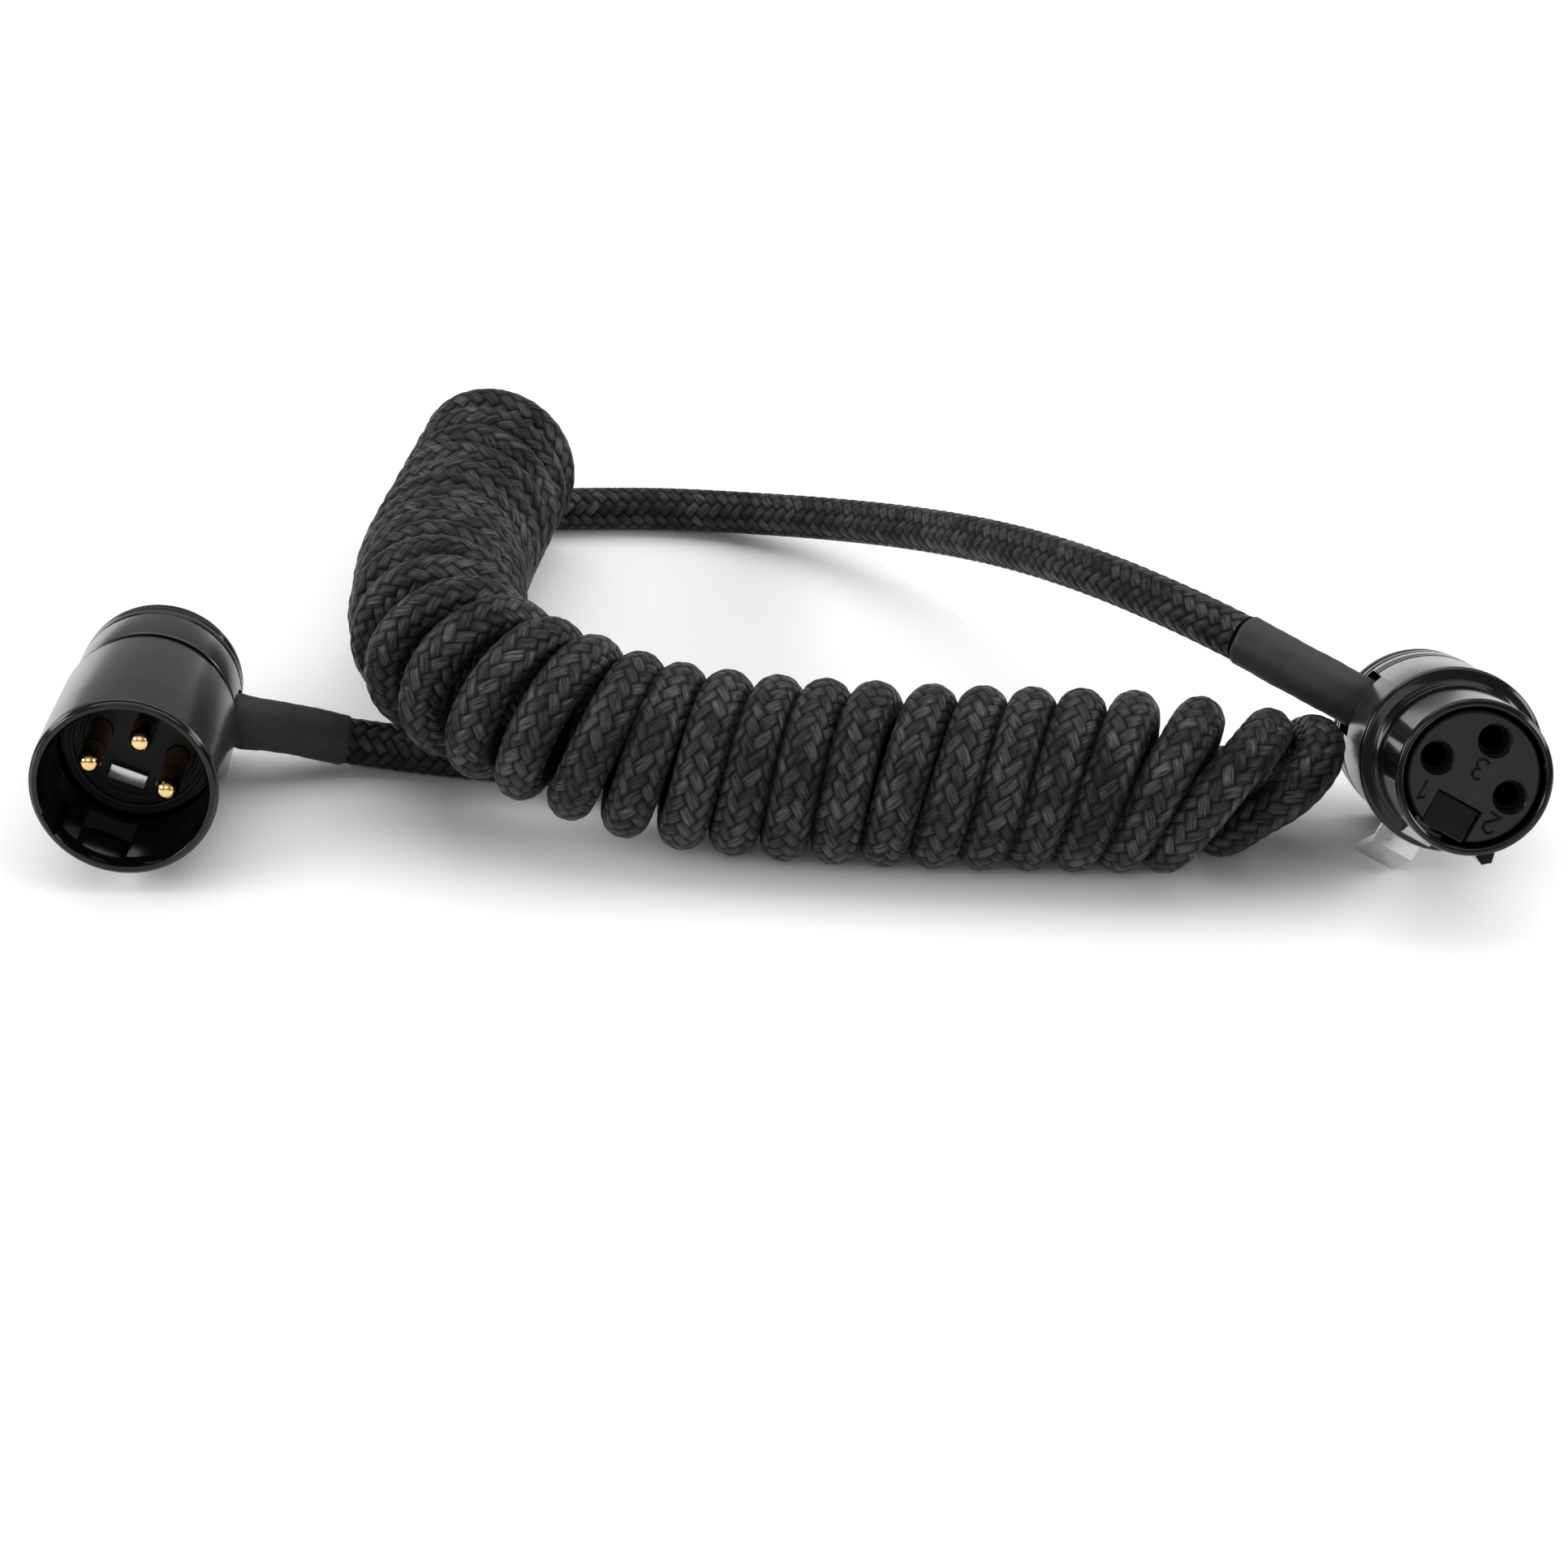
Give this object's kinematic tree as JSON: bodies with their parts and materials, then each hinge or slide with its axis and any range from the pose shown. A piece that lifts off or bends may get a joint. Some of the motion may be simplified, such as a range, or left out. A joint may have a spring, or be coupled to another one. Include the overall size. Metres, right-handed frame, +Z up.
{
  "type": "coiled xlr cable",
  "caption": "Coiled black braided microphone cable lying bent in an L, with a three-pin male and a latching female low-profile right-angle connector.",
  "frame": {"origin": "on the table, under the middle of the box round the two connectors", "axes": "+X from the male connector to the female one, +Y from the mating faces to the backs, +Z up"},
  "size_m": [0.1508, 0.0955, 0.025],
  "materials": {
    "black_lacquer": "gloss black lacquer",
    "satin_black": "satin black anodised",
    "insert_plastic": "matte moulded",
    "gold_contact": "gold plated, polished",
    "bright_steel": "nickel plated",
    "fixing_steel": "plain steel",
    "spring_steel": "plain",
    "braid": "woven nylon braid",
    "heatshrink": "matte, smooth",
    "cable_core": "matte jacket",
    "wire_red": "smooth",
    "wire_white": "smooth",
    "wire_bare": "tinned copper strands"
  },
  "bodies": {
    "cable_set": {"male_shell": "satin_black", "male_insert": "insert_plastic", "male_pin_1": "gold_contact", "male_pin_2": "gold_contact", "male_pin_3": "gold_contact", "male_ground_tab": "bright_steel", "female_shell": "black_lacquer", "female_insert": "insert_plastic", "female_contact_1": "gold_contact", "female_contact_2": "gold_contact", "female_contact_3": "gold_contact", "female_latch_pin": "fixing_steel", "female_latch_spring": "spring_steel", "male_lock_ring": "black_lacquer", "male_housing": "satin_black", "male_rear_cap": "black_lacquer", "male_cap_screw_1": "fixing_steel", "male_cap_screw_2": "fixing_steel", "male_clamp_bar": "fixing_steel", "male_clamp_screw_1": "fixing_steel", "male_clamp_screw_2": "fixing_steel", "male_cable_core": "cable_core", "male_heatshrink": "heatshrink", "male_wire_1": "wire_bare", "male_wire_2": "wire_red", "male_wire_3": "wire_white", "female_lock_ring": "black_lacquer", "female_housing": "satin_black", "female_rear_cap": "black_lacquer", "female_cap_screw_1": "fixing_steel", "female_cap_screw_2": "fixing_steel", "female_clamp_bar": "fixing_steel", "female_clamp_screw_1": "fixing_steel", "female_clamp_screw_2": "fixing_steel", "female_cable_core": "cable_core", "female_heatshrink": "heatshrink", "female_wire_1": "wire_bare", "female_wire_2": "wire_red", "female_wire_3": "wire_white", "cable_tail_a": "braid", "cable_coil": "braid", "cable_tail_b": "braid"},
    "latch": {"female_latch": "bright_steel"}
  },
  "joints": [
    {"name": "latch_press", "type": "hinge", "parent": "cable_set", "child": "latch", "pos_m": [0.06399, -0.01652, 0.01246], "axis": [0.8738, -0.1255, -0.4698], "range_deg": [0, 10], "stiffness_Nm_per_rad": 0.2, "springref_deg": -8.59}
  ]
}
